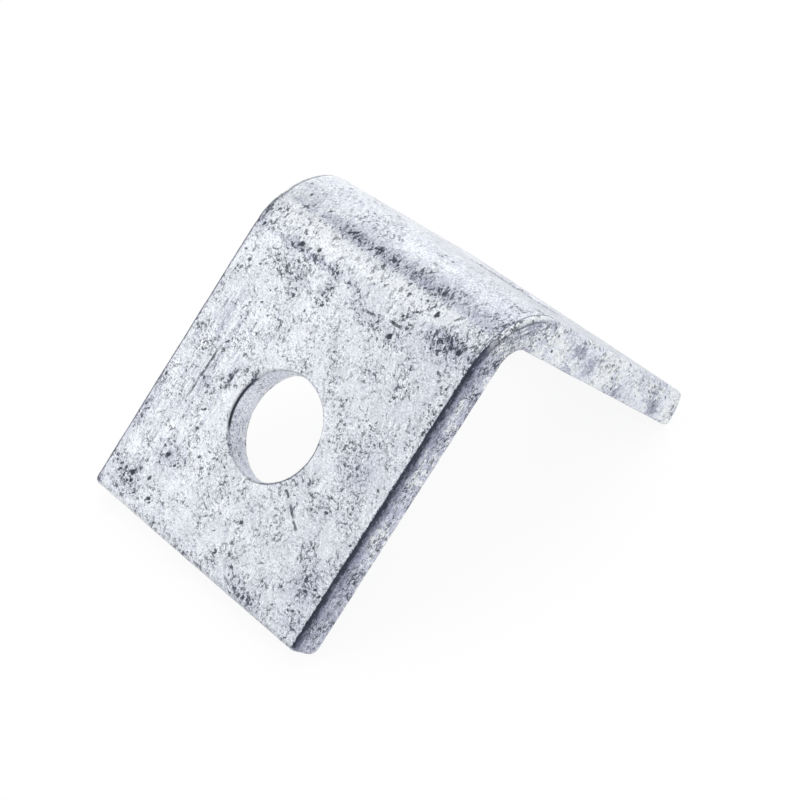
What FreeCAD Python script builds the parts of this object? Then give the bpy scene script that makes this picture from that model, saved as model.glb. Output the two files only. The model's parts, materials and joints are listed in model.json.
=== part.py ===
import FreeCAD, Part
import math
import os
import Sketcher

# Strut angle bracket: a strip of galvanised steel, cropped to length, punched once in each leg and
# folded square. It stands as it comes to rest, fold uppermost, on the inner edges of its two leg ends.
# Row frame: +X along the fold, +Y towards the end of the long leg, +Z up; the origin is on the surface
# that the bracket stands on, at the middle of its footprint.

NODE = "angle_bracket"
SHEET = "Dimensions"

# Driving dimensions in millimetres. A leg is measured from the outer face of the other leg to its
# farthest point, as if the fold were sharp.
SIZES = {
    "strip_width": 40.0,
    "strip_thickness": 5.3,
    "short_leg": 50.1,
    "long_leg": 50.8,
    # The two arcs of the fold aren't concentric: the strip thins where it is stretched round the bend.
    "bend_outer_radius": 10.2,
    "bend_inner_radius": 3.1,
    # The short leg is cropped square. The long leg's cut leans, and its outer face ends short of its
    # inner face by the slant.
    "long_end_slant": 0.9,
    # Rounding of a cropped end where the blade pulled the face down, and where it broke away.
    "rolled_end_radius": 1.3,
    "broken_end_radius": 0.9,
    "long_edge_radius": 0.75,
    # A punched hole has a straight land behind the outer face. From there it widens to the inner face,
    # where its diameter is larger by the widening.
    "hole_diameter": 14.0,
    "hole_land": 3.2,
    "breakout_widening": 1.4,
    "hole_rim_radius": 0.4,
    "short_hole_to_end": 20.3,
    "long_hole_to_end": 20.3,
}

ON_TOLERANCE = 1e-6

# A sketch's own origin point and axes, as constraints name them.
ROOT_POINT = (-1, 1)
H_AXIS = -1
V_AXIS = -2


def at(x, y):
    return FreeCAD.Vector(x, y, 0)


def dimension_sheet(doc):
    sheet = doc.addObject("Spreadsheet::Sheet", SHEET)
    for row, (name, value) in enumerate(SIZES.items(), start=1):
        sheet.set(f"A{row}", str(value))
        sheet.setAlias(f"A{row}", name)
    doc.recompute()
    return sheet


def middle_plane(body):
    return next(plane for plane in body.Origin.OriginFeatures if plane.Role == "YZ_Plane")


def section_plane_sketch(body, name):
    """Sketch on the plane halfway across the strip: x along the long leg, y against the short leg."""
    sketch = body.newObject("Sketcher::SketchObject", name)
    sketch.AttachmentSupport = (middle_plane(body), [""])
    sketch.MapMode = "FlatFace"
    return sketch


def bind(sketch, name, expression, *constraint):
    """Adds a named dimension to a sketch and ties it to the sheet."""
    index = sketch.addConstraint(Sketcher.Constraint(*constraint))
    sketch.renameConstraint(index, name)
    sketch.setExpression(f"Constraints.{name}", expression)


def end_arc_centres(size):
    """Centres of the four roundings at the leg ends, in the section."""
    thickness, slant = size.strip_thickness, size.long_end_slant
    rolled, broken = size.rolled_end_radius, size.broken_end_radius
    slope = slant / thickness
    reach = math.hypot(1.0, slope)

    def long_end_centre(depth, radius):
        return at(size.long_leg - slant + slope * depth - radius * reach, -depth)

    return {
        "short_outer": at(broken, broken - size.short_leg),
        "short_inner": at(thickness - rolled, rolled - size.short_leg),
        "long_outer": long_end_centre(rolled, rolled),
        "long_inner": long_end_centre(thickness - broken, broken),
    }


def draw_strip_section(sketch, size):
    """Outline of the folded strip, anticlockwise from the long leg's outer face."""
    thickness, slant = size.strip_thickness, size.long_end_slant
    outer, inner = size.bend_outer_radius, size.bend_inner_radius
    rolled, broken = size.rolled_end_radius, size.broken_end_radius
    lean = math.atan2(slant, thickness)
    quarter = math.pi / 2
    centre = end_arc_centres(size)

    def arc(middle, radius, start, end):
        circle = Part.Circle(middle, FreeCAD.Vector(0, 0, 1), radius)
        return sketch.addGeometry(Part.ArcOfCircle(circle, start, end))

    def line(start, end):
        return sketch.addGeometry(Part.LineSegment(start, end))

    def on_arc(middle, radius, angle):
        return middle + at(radius * math.cos(angle), radius * math.sin(angle))

    long_outer_face = line(on_arc(centre["long_outer"], rolled, quarter), at(outer, 0))
    outer_bend = arc(at(outer, -outer), outer, quarter, 2 * quarter)
    short_outer_face = line(at(0, -outer), on_arc(centre["short_outer"], broken, 2 * quarter))
    short_outer_edge = arc(centre["short_outer"], broken, 2 * quarter, 3 * quarter)
    short_end = line(
        on_arc(centre["short_outer"], broken, 3 * quarter),
        on_arc(centre["short_inner"], rolled, 3 * quarter),
    )
    short_inner_edge = arc(centre["short_inner"], rolled, 3 * quarter, 4 * quarter)
    short_inner_face = line(
        on_arc(centre["short_inner"], rolled, 0),
        at(thickness, -thickness - inner),
    )
    inner_bend = arc(at(thickness + inner, -thickness - inner), inner, quarter, 2 * quarter)
    long_inner_face = line(
        at(thickness + inner, -thickness),
        on_arc(centre["long_inner"], broken, 3 * quarter),
    )
    long_inner_edge = arc(centre["long_inner"], broken, 3 * quarter, 4 * quarter + lean)
    long_end = line(
        on_arc(centre["long_inner"], broken, lean),
        on_arc(centre["long_outer"], rolled, lean),
    )
    long_outer_edge = arc(centre["long_outer"], rolled, lean, quarter)

    # Each piece of the outline runs tangentially into the next. The inner bend is the one hollow arc,
    # so the outline passes through it from its end to its start.
    outline = [
        long_outer_face, outer_bend, short_outer_face, short_outer_edge, short_end, short_inner_edge,
        short_inner_face, inner_bend, long_inner_face, long_inner_edge, long_end, long_outer_edge,
    ]
    for here, following in zip(outline, outline[1:] + outline[:1]):
        leaves = 1 if here == inner_bend else 2
        enters = 2 if following == inner_bend else 1
        sketch.addConstraint(Sketcher.Constraint("Tangent", here, leaves, following, enters))

    for face in (long_outer_face, long_inner_face, short_end):
        sketch.addConstraint(Sketcher.Constraint("Horizontal", face))
    for face in (short_outer_face, short_inner_face):
        sketch.addConstraint(Sketcher.Constraint("Vertical", face))
    sketch.addConstraint(Sketcher.Constraint("PointOnObject", long_outer_face, 1, H_AXIS))
    sketch.addConstraint(Sketcher.Constraint("PointOnObject", short_outer_face, 1, V_AXIS))
    bind(sketch, "long_leg_thickness", f"{SHEET}.strip_thickness",
         "DistanceY", long_inner_face, 1, *ROOT_POINT, thickness)
    bind(sketch, "short_leg_thickness", f"{SHEET}.strip_thickness",
         "DistanceX", *ROOT_POINT, short_inner_face, 1, thickness)

    rounded = {
        "outer_bend": (outer_bend, "bend_outer_radius"),
        "inner_bend": (inner_bend, "bend_inner_radius"),
        "short_outer_edge": (short_outer_edge, "broken_end_radius"),
        "short_inner_edge": (short_inner_edge, "rolled_end_radius"),
        "long_outer_edge": (long_outer_edge, "rolled_end_radius"),
        "long_inner_edge": (long_inner_edge, "broken_end_radius"),
    }
    for name, (edge, alias) in rounded.items():
        bind(sketch, name, f"{SHEET}.{alias}", "Radius", edge, getattr(size, alias))

    def sharp_corner(face_line, end_line, point):
        corner = sketch.addGeometry(Part.Point(point), True)
        sketch.addConstraint(Sketcher.Constraint("PointOnObject", corner, 1, face_line))
        sketch.addConstraint(Sketcher.Constraint("PointOnObject", corner, 1, end_line))
        return corner

    # The sharp corners, where the faces would meet the leaning cut, set the long leg's lengths.
    full, cut = size.long_leg, size.long_leg - slant
    corner = sharp_corner(long_inner_face, long_end, at(full, -thickness))
    bind(sketch, "long_leg", f"{SHEET}.long_leg", "DistanceX", *ROOT_POINT, corner, 1, full)
    corner = sharp_corner(long_outer_face, long_end, at(cut, 0))
    bind(sketch, "long_leg_outside", f"{SHEET}.long_leg - {SHEET}.long_end_slant",
         "DistanceX", *ROOT_POINT, corner, 1, cut)
    bind(sketch, "short_leg", f"{SHEET}.short_leg",
         "DistanceY", short_end, 1, *ROOT_POINT, size.short_leg)


def draw_hole_section(sketch, size):
    """Half section of a punched hole: y is its axis, pointing out of the outer face."""
    thickness, land = size.strip_thickness, size.hole_land
    radius = size.hole_diameter / 2
    breakout = radius + size.breakout_widening / 2
    # The cut starts and ends one thickness clear of the two faces.
    above, below = thickness, 2 * thickness
    corners = [
        at(0, above), at(radius, above), at(radius, -land),
        at(breakout, -thickness), at(breakout, -below), at(0, -below),
    ]
    sides = [
        sketch.addGeometry(Part.LineSegment(start, end))
        for start, end in zip(corners, corners[1:] + corners[:1])
    ]
    top, wall, cone, skirt, bottom, axis = sides
    for here, following in zip(sides, sides[1:] + sides[:1]):
        sketch.addConstraint(Sketcher.Constraint("Coincident", here, 2, following, 1))
    for side in (top, bottom):
        sketch.addConstraint(Sketcher.Constraint("Horizontal", side))
    for side in (wall, skirt):
        sketch.addConstraint(Sketcher.Constraint("Vertical", side))
    sketch.addConstraint(Sketcher.Constraint("PointOnObject", axis, 1, V_AXIS))
    sketch.addConstraint(Sketcher.Constraint("PointOnObject", axis, 2, V_AXIS))
    bind(sketch, "hole_radius", f"{SHEET}.hole_diameter / 2",
         "DistanceX", *ROOT_POINT, wall, 1, radius)
    bind(sketch, "breakout_radius", f"({SHEET}.hole_diameter + {SHEET}.breakout_widening) / 2",
         "DistanceX", *ROOT_POINT, skirt, 1, breakout)
    bind(sketch, "land", f"{SHEET}.hole_land", "DistanceY", cone, 1, *ROOT_POINT, land)
    bind(sketch, "inner_face", f"{SHEET}.strip_thickness", "DistanceY", skirt, 1, *ROOT_POINT, thickness)
    bind(sketch, "above", f"{SHEET}.strip_thickness", "DistanceY", *ROOT_POINT, wall, 1, above)
    bind(sketch, "below", f"2 * {SHEET}.strip_thickness", "DistanceY", skirt, 2, *ROOT_POINT, below)


def punch_hole(body, size, name, turn, offsets):
    """Cuts one hole, its section turned to face out of its leg and slid along the leg."""
    sketch = section_plane_sketch(body, f"{name}Section")
    draw_hole_section(sketch, size)
    sketch.AttachmentOffset = FreeCAD.Placement(at(0, 0), FreeCAD.Rotation(turn, 0, 0))
    for axis, expression in offsets.items():
        sketch.setExpression(f"AttachmentOffset.Base.{axis}", expression)
    groove = body.newObject("PartDesign::Groove", name)
    groove.Profile = sketch
    groove.ReferenceAxis = (sketch, ["V_Axis"])
    groove.Angle = 360
    return groove


def edge_names(shape, wanted):
    return [f"Edge{i}" for i, edge in enumerate(shape.Edges, start=1) if wanted(edge)]


def round_edges(body, name, alias, wanted):
    base = body.Tip
    fillet = body.newObject("PartDesign::Fillet", name)
    fillet.Base = (base, edge_names(base.Shape, wanted))
    fillet.setExpression("Radius", f"{SHEET}.{alias}")
    return fillet


def resting_placement(size):
    """Turns the section so that both leg ends touch the ground, and centres it over the origin."""
    centre = end_arc_centres(size)
    left, right = centre["short_inner"], centre["long_inner"]
    span = right - left
    rise = size.broken_end_radius - size.rolled_end_radius
    turn = math.asin(rise / span.Length) - math.atan2(span.y, span.x)

    def turned(point):
        return at(
            point.x * math.cos(turn) - point.y * math.sin(turn),
            point.x * math.sin(turn) + point.y * math.cos(turn),
        )

    ground = turned(right).y - size.broken_end_radius
    lowest_y = turned(centre["short_outer"]).x - size.broken_end_radius
    highest_y = turned(centre["long_outer"]).x + size.rolled_end_radius
    shift = FreeCAD.Vector(0, -(lowest_y + highest_y) / 2, -ground)
    return FreeCAD.Placement(shift, FreeCAD.Rotation(FreeCAD.Vector(1, 0, 0), math.degrees(turn)))


def angle_bracket(doc, size):
    body = doc.addObject("PartDesign::Body", "AngleBracket")
    body.Label = NODE

    section = section_plane_sketch(body, "StripSection")
    draw_strip_section(section, size)
    strip = body.newObject("PartDesign::Pad", "FoldedStrip")
    strip.Profile = section
    strip.SideType = "Symmetric"
    strip.setExpression("Length", f"{SHEET}.strip_width")
    doc.recompute()

    holes = {
        "ShortLegHole": (90, {"y": f"{SHEET}.short_hole_to_end - {SHEET}.short_leg"}),
        "LongLegHole": (0, {"x": f"{SHEET}.long_leg - {SHEET}.long_hole_to_end"}),
    }
    for name, (turn, offsets) in holes.items():
        whole = body.Shape.Volume
        punch_hole(body, size, name, turn, offsets)
        doc.recompute()
        if body.Shape.Volume >= whole:
            raise RuntimeError(f"{name} cuts nothing")

    def on_outer_face(edge):
        if not isinstance(edge.Curve, Part.Circle):
            return False
        middle, axis = edge.Curve.Center, edge.Curve.Axis
        crosswise = abs(axis.x) < ON_TOLERANCE
        return crosswise and abs(middle.dot(axis)) < ON_TOLERANCE

    round_edges(body, "HoleRims", "hole_rim_radius", on_outer_face)
    doc.recompute()

    def on_strip_side(edge):
        box = edge.BoundBox
        flat = box.XLength < ON_TOLERANCE
        return flat and abs(abs(box.XMin) - size.strip_width / 2) < ON_TOLERANCE

    round_edges(body, "LongEdges", "long_edge_radius", on_strip_side)
    doc.recompute()
    body.Placement = resting_placement(size)
    doc.recompute()
    return body


def check(doc, bodies):
    for item in doc.Objects:
        if {"Invalid", "Error"} & set(item.State):
            raise RuntimeError(f"{item.Label} failed: {item.State}")
    for body in bodies:
        shape = body.Shape
        if shape.isNull() or not shape.isValid() or len(shape.Solids) != 1:
            raise RuntimeError(f"{body.Label} is not one sound solid")


def main():
    doc = FreeCAD.newDocument("StrutAngleBracket")
    size = dimension_sheet(doc)
    bodies = [angle_bracket(doc, size)]
    check(doc, bodies)
    os.makedirs("parts", exist_ok=True)
    for body in bodies:
        body.Shape.exportStep(f"parts/{body.Label}.step")


main()
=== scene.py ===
import json
import math
from types import SimpleNamespace

import bmesh
import bpy
import numpy as np
from mathutils import Matrix, Vector, noise


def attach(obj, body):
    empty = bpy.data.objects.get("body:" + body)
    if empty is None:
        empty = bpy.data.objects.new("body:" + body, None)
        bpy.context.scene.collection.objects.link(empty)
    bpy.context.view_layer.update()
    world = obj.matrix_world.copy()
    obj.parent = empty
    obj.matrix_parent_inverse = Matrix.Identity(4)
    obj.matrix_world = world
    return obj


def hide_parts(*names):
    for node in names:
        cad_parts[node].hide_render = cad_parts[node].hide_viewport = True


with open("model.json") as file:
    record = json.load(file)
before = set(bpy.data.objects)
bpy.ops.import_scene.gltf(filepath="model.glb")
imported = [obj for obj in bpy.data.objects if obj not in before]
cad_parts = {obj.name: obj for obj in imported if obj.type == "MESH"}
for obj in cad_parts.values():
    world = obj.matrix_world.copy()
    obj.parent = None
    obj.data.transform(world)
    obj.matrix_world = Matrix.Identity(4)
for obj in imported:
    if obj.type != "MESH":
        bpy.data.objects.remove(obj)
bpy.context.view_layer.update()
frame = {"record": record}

NODE = "angle_bracket"
MM = 0.001

# The bracket's own sizes, in millimetres, as its solid has them.
STRIP_WIDTH = 40.0
STRIP_THICKNESS = 5.3
SHORT_LEG = 50.1
LONG_LEG = 50.8
BEND_OUTER_RADIUS = 10.2
BEND_INNER_RADIUS = 3.1
LONG_END_SLANT = 0.9
ROLLED_END_RADIUS = 1.3
BROKEN_END_RADIUS = 0.9
LONG_EDGE_RADIUS = 0.75
HOLE_RADIUS = 7.0
HOLE_LAND = 3.2
BREAKOUT_RADIUS = 7.7
HOLE_RIM_RADIUS = 0.4
HOLE_TO_END = 20.3

# How finely the surface is divided, in cells.
PATCH_CELLS = 52
PATCH_HALF = 8.84
MARGIN_CELLS = 31
LEG_CELLS_BY_BEND = 32
LEG_CELLS_BY_END = 31
BEND_CELLS = 46
EDGE_CELLS = 3
END_ARC_CELLS = 4
END_FACE_CELLS = 8
HOLE_RINGS = 9
RIM_RINGS = 4
LAND_RINGS = 8
BREAKOUT_RINGS = 6


def row_axes():
    """The fold's outer corner and the directions away from it along the two legs, in the row frame."""
    mounts = {mount["name"]: mount for mount in frame["record"]["mounts"]}
    short_out = Vector(mounts["short_leg_seat"]["axis"])
    long_out = Vector(mounts["long_leg_seat"]["axis"])
    short_seat = Vector(mounts["short_leg_seat"]["pos_m"])
    long_seat = Vector(mounts["long_leg_seat"]["pos_m"])
    corner = short_out * short_seat.dot(short_out) + long_out * long_seat.dot(long_out)
    return corner, -short_out, -long_out


# The folded strip's section. A point is (a, b): a along the long leg and b along the short leg, both
# from the outer corner, so the short leg's outer face has a = 0 and the long leg's has b = 0.

def line(start, end, cells):
    share = np.linspace(0.0, 1.0, cells + 1)[:, None]
    return np.array(start) * (1 - share) + np.array(end) * share


def arc(centre, radius, start, end, cells):
    angle = np.radians(np.linspace(start, end, cells + 1))
    return np.array(centre) + radius * np.stack([np.cos(angle), np.sin(angle)], 1)


def chain(*pieces):
    """Joins curves that start where the one before ends."""
    return np.vstack([pieces[0]] + [piece[1:] for piece in pieces[1:]])


def leg_stations(start, hole, end):
    """Distances along a leg, from the bend to the end's rounding, with even steps beside the hole."""
    return np.concatenate([
        np.linspace(start, hole - PATCH_HALF, LEG_CELLS_BY_BEND + 1)[:-1],
        np.linspace(hole - PATCH_HALF, hole + PATCH_HALF, PATCH_CELLS + 1)[:-1],
        np.linspace(hole + PATCH_HALF, end, LEG_CELLS_BY_END + 1),
    ])


LEAN = math.degrees(math.atan2(LONG_END_SLANT, STRIP_THICKNESS))
REACH = math.hypot(1.0, LONG_END_SLANT / STRIP_THICKNESS)
SHORT_HOLE = SHORT_LEG - HOLE_TO_END
LONG_HOLE = LONG_LEG - HOLE_TO_END


def long_end_centre(depth, radius):
    slope = LONG_END_SLANT / STRIP_THICKNESS
    return LONG_LEG - LONG_END_SLANT + slope * depth - radius * REACH, depth


def rails():
    """The section's outer and inner lines, station by station from the short end to the long end."""
    outer, inner = BEND_OUTER_RADIUS, STRIP_THICKNESS + BEND_INNER_RADIUS
    rolled, broken = ROLLED_END_RADIUS, BROKEN_END_RADIUS
    outer_end = long_end_centre(rolled, rolled)[0]
    inner_end = long_end_centre(STRIP_THICKNESS - broken, broken)[0]

    def rail(start, depth, radius, short_end, long_end):
        short = leg_stations(start, SHORT_HOLE, short_end)[::-1]
        long = leg_stations(start, LONG_HOLE, long_end)
        bend = arc((start, start), radius, 180, 270, BEND_CELLS)
        return chain(
            np.stack([np.full_like(short, depth), short], 1),
            bend,
            np.stack([long, np.full_like(long, depth)], 1),
        )

    return (
        rail(outer, 0.0, BEND_OUTER_RADIUS, SHORT_LEG - broken, outer_end),
        rail(inner, STRIP_THICKNESS, BEND_INNER_RADIUS, SHORT_LEG - rolled, inner_end),
    )


def ends():
    """The rounded ends of the short and long leg, each from the outer line to the inner line."""
    rolled, broken, thick = ROLLED_END_RADIUS, BROKEN_END_RADIUS, STRIP_THICKNESS
    short_outer = arc((broken, SHORT_LEG - broken), broken, 180, 90, END_ARC_CELLS)
    short_inner = arc((thick - rolled, SHORT_LEG - rolled), rolled, 90, 0, END_ARC_CELLS)
    long_outer = arc(long_end_centre(rolled, rolled), rolled, -90, -LEAN, END_ARC_CELLS)
    long_inner = arc(long_end_centre(thick - broken, broken), broken, -LEAN, 90, END_ARC_CELLS)
    return [
        chain(first, line(first[-1], last[0], END_FACE_CELLS), last)
        for first, last in ((short_outer, short_inner), (long_outer, long_inner))
    ]


def outline_normals(outline):
    """Outward normals of a closed outline that runs with the material on its left."""
    ahead = np.roll(outline, -1, 0) - outline
    behind = outline - np.roll(outline, 1, 0)
    tangent = ahead / np.linalg.norm(ahead, axis=1)[:, None]
    tangent += behind / np.linalg.norm(behind, axis=1)[:, None]
    tangent /= np.linalg.norm(tangent, axis=1)[:, None]
    return np.stack([tangent[:, 1], -tangent[:, 0]], 1)


def strip_columns():
    """Across the strip: each column's x, and its inset from the section's outline at a rounded edge."""
    flat_half = STRIP_WIDTH / 2 - LONG_EDGE_RADIUS
    flat = np.concatenate([
        np.linspace(-flat_half, -PATCH_HALF, MARGIN_CELLS + 1)[:-1],
        np.linspace(-PATCH_HALF, PATCH_HALF, PATCH_CELLS + 1)[:-1],
        np.linspace(PATCH_HALF, flat_half, MARGIN_CELLS + 1),
    ])
    turn = np.radians(np.linspace(90, 0, EDGE_CELLS + 1)[:-1])
    edge = flat_half + LONG_EDGE_RADIUS * np.sin(turn)
    inset = LONG_EDGE_RADIUS * (1 - np.cos(turn))
    return (
        np.concatenate([-edge, flat, edge[::-1]]),
        np.concatenate([inset, np.zeros_like(flat), inset[::-1]]),
    )


def grid_faces(ids):
    """Four-sided faces between the rows and columns of an array of vertex numbers."""
    return np.stack([ids[:-1, :-1], ids[1:, :-1], ids[1:, 1:], ids[:-1, 1:]], -1)


def hole_profile():
    """Radius and depth of the punched hole's wall, ring by ring from the outer face to the inner face."""
    turn = np.radians(np.linspace(0, 90, RIM_RINGS + 1))
    rim = np.stack([
        HOLE_RADIUS + HOLE_RIM_RADIUS * (1 - np.sin(turn)),
        HOLE_RIM_RADIUS * (1 - np.cos(turn)),
    ], 1)
    land = line((HOLE_RADIUS, HOLE_RIM_RADIUS), (HOLE_RADIUS, HOLE_LAND), LAND_RINGS)
    breakout = line((HOLE_RADIUS, HOLE_LAND), (BREAKOUT_RADIUS, STRIP_THICKNESS), BREAKOUT_RINGS)
    return chain(rim, land, breakout)


class Surface:
    """Points (x, a, b) in millimetres and the four-sided faces between them."""

    def __init__(self):
        self.points = np.empty((0, 3))
        self.faces = []

    def add_points(self, places):
        """Adds an array of points and gives their numbers in the same arrangement."""
        first = len(self.points)
        self.points = np.vstack([self.points, places.reshape(-1, 3)])
        return np.arange(first, len(self.points)).reshape(places.shape[:-1])

    def add_grid(self, ids):
        self.faces.append(grid_faces(ids).reshape(-1, 4))

    def used(self):
        """The points that faces use, and the faces with these points' numbers."""
        chosen, faces = np.unique(np.concatenate(self.faces), return_inverse=True)
        return self.points[chosen], faces.reshape(-1, 4)


def square_border(ids, low, left):
    """The numbers of the points round a square patch in the grid of a face."""
    high, right = low + PATCH_CELLS, left + PATCH_CELLS
    return np.concatenate([
        ids[low:high, left], ids[high, left:right], ids[high:low:-1, right], ids[low, right:left:-1],
    ])


def add_hole(surface, outer_border, inner_border, hole, order):
    """A punched hole: its wall, and rings of faces from its rims to the square patches around it."""
    outer_square, inner_square = surface.points[outer_border], surface.points[inner_border]
    turn = np.arctan2(outer_square[:, order[1]] - hole, outer_square[:, 0])
    wall = []
    for radius, depth in hole_profile():
        ring = [radius * np.cos(turn), hole + radius * np.sin(turn), np.full_like(turn, depth)]
        wall.append(np.stack(ring, 1)[:, order])
    shares = np.linspace(0, 1, HOLE_RINGS + 1)[1:-1]
    before = [outer_square * (1 - share) + wall[0] * share for share in shares]
    after = [wall[-1] * (1 - share) + inner_square * share for share in shares]
    rings = surface.add_points(np.stack(before + wall + after))
    rings = np.vstack([outer_border, rings, inner_border])
    surface.add_grid(np.hstack([rings, rings[:, :1]]))


def add_side(surface, outer_ids, inner_ids, short_end_ids, long_end_ids, share):
    """A long side, filled between the outer and inner lines in steps like those of the ends."""
    top = surface.points[outer_ids[1:-1]][:, None]
    bottom = surface.points[inner_ids[1:-1]][:, None]
    filling = surface.add_points(top * (1 - share) + bottom * share)
    middle = np.hstack([short_end_ids[:, None], filling.T, long_end_ids[:, None]])
    surface.add_grid(np.vstack([outer_ids, middle, inner_ids]))


def bracket_surface():
    """Vertices (x, a, b) in millimetres and four-sided faces of the whole bracket, before its relief."""
    outer, inner = rails()
    short_end, long_end = ends()
    outline = np.vstack([outer, long_end[1:-1], inner[::-1], short_end[-2:0:-1]])
    x, inset = strip_columns()
    section = outline[:, None] - outline_normals(outline)[:, None] * inset[None, :, None]
    columns = np.broadcast_to(x[None, :, None], (*section.shape[:2], 1))
    surface = Surface()
    ids = surface.add_points(np.concatenate([columns, section], 2))
    stations, between = len(outer), len(long_end) - 2
    outer_ids = ids[:stations]
    long_end_ids = ids[stations:stations + between]
    inner_ids = ids[stations + between:2 * stations + between][::-1]
    short_end_ids = ids[2 * stations + between:][::-1]

    for end_ids, station in ((short_end_ids, 0), (long_end_ids, -1)):
        surface.add_grid(np.vstack([outer_ids[station], end_ids, inner_ids[station]]))

    step = np.linalg.norm(np.diff(short_end, axis=0), axis=1)
    share = (np.cumsum(step) / step.sum())[:-1, None]
    for column in (0, -1):
        edge_ids = [row_ids[:, column] for row_ids in (outer_ids, inner_ids, short_end_ids, long_end_ids)]
        add_side(surface, *edge_ids, share)

    leg_cells = LEG_CELLS_BY_BEND + PATCH_CELLS + LEG_CELLS_BY_END
    left = EDGE_CELLS + MARGIN_CELLS
    kept = np.ones((stations - 1, len(x) - 1), bool)
    legs = (
        (LEG_CELLS_BY_END, SHORT_HOLE, (0, 2, 1)),
        (leg_cells + BEND_CELLS + LEG_CELLS_BY_BEND, LONG_HOLE, (0, 1, 2)),
    )
    for low, hole, order in legs:
        borders = [square_border(rail_ids, low, left) for rail_ids in (outer_ids, inner_ids)]
        add_hole(surface, *borders, hole, order)
        kept[low:low + PATCH_CELLS, left:left + PATCH_CELLS] = False
    for rail_ids in (outer_ids, inner_ids):
        surface.faces.append(grid_faces(rail_ids)[kept])
    return surface.used()


def unrolled(points):
    """The same points on the strip as it was before folding: across, along and depth, in millimetres."""
    x, a, b = points.T
    centre = BEND_OUTER_RADIUS
    neutral = centre - STRIP_THICKNESS / 2
    toward_a, toward_b = centre - a, centre - b
    turn = np.arctan2(toward_b, toward_a)
    on_short, on_long = toward_b < 0, toward_a < 0
    along = (turn - math.pi / 4) * neutral
    along = np.where(on_short, toward_b - BEND_HALF, np.where(on_long, BEND_HALF - toward_a, along))
    depth = centre - np.hypot(toward_a, toward_b)
    depth = np.where(on_short, a, np.where(on_long, b, depth))
    return np.stack([x, along, depth], 1)


# Places on the strip before folding, in millimetres: across it, along it from the middle of the fold
# (below 0 on the short leg, above 0 on the long leg) and depth below its outer face.

BEND_HALF = math.pi / 4 * (BEND_OUTER_RADIUS - STRIP_THICKNESS / 2)
SHORT_END_ALONG = BEND_OUTER_RADIUS - SHORT_LEG - BEND_HALF
LONG_END_ALONG = BEND_HALF - BEND_OUTER_RADIUS + LONG_LEG
HOLES_ALONG = (SHORT_END_ALONG + HOLE_TO_END, LONG_END_ALONG - HOLE_TO_END)
SEED = 11
SWELL = 0.07
SWELL_SIZE = 7.0
LUMP = 0.05
LUMP_SIZE = 1.6
PIT_DEPTH = 0.16
PIT_UNEVEN = 0.6
PIT_UNEVEN_SIZE = 0.6
LOOSE_PITS = 160
LOOSE_PIT_RADII = (0.18, 0.34)
SADDLE_DROP = 0.25
SADDLE_START = 13.0
SADDLE_REACH = 1.2 * BEND_HALF
SADDLE_PULL = 0.004
WORN_CORNER = 0.25
WORN_CORNER_SIZE = 1.8
SHARP_ANGLE = 50.0
MAP_GAP = 1.0
MAP_RIM = 0.005
# Depths over which press marks, and the soil and painted shade of the outer face, come to an end.
PRESS_END = (0.5, 1.5)
SOIL_AND_SHADE_END = (0.4, 1.2)
# Marks of the folding press on the outer face: place along the strip, half width and depth.
PRESS_MARKS = ((-1.7, 0.9, 0.12), (-5.8, 0.6, 0.06))
# Pits that stand out on the short leg's outer face: across, along and radius.
SEEN_PITS = (
    (-15.0, -41.5, 0.7), (-14.6, -42.6, 0.5), (-12.2, -40.7, 0.5), (-10.7, -42.8, 0.45),
    (-11.6, -36.8, 0.6), (-9.9, -37.3, 0.45), (16.7, -42.0, 0.4), (18.4, -43.7, 0.4),
    (18.0, -38.1, 0.4), (13.4, -29.9, 0.45), (-17.0, -30.8, 0.3), (7.4, -8.3, 0.65),
    (11.3, -3.6, 0.6), (17.0, -5.2, 0.55), (-11.4, -5.3, 0.5), (-8.6, -4.9, 0.5), (-18.3, -5.6, 0.4),
)
# Soiled places of the outer face; those on the fold (along near 0) paint the shade of its dark band:
# across, along, their half sizes and how dark they are.
SOIL_AND_SHADE = (
    (-9.0, -5.7, 8.0, 0.5, 0.9), (15.0, -5.2, 3.4, 1.4, 0.9), (-11.0, -8.8, 2.8, 2.2, 0.2),
    (-4.5, -1.8, 6.0, 0.9, 0.9), (7.0, -1.5, 5.0, 0.8, 0.6), (-15.5, -42.0, 2.8, 2.6, 0.5),
    (-11.0, -36.8, 2.0, 2.5, 0.5), (17.0, -38.5, 2.2, 3.2, 0.5), (14.5, -23.3, 2.4, 4.0, 0.4),
    (-18.7, -34.0, 0.6, 6.0, 0.7), (-13.0, -22.0, 0.5, 8.0, 0.6), (-9.7, -23.5, 0.35, 2.5, 0.6),
    (-15.2, -19.0, 0.5, 5.0, 0.5), (0.0, -8.0, 13.0, 1.4, 0.3), (10.0, -44.4, 3.5, 1.2, 0.6),
    (-6.0, -44.6, 9.0, 0.9, 0.4), (0.0, 2.4, 16.0, 0.5, 0.3), (18.0, -1.0, 2.6, 3.0, 0.5),
    (-18.8, -4.8, 1.2, 2.2, 0.7), (17.6, -43.4, 2.2, 1.4, 0.6), (-6.4, -22.5, 0.6, 0.9, 0.9),
    (-19.2, -45.0, 0.6, 0.8, 0.9),
)
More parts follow.
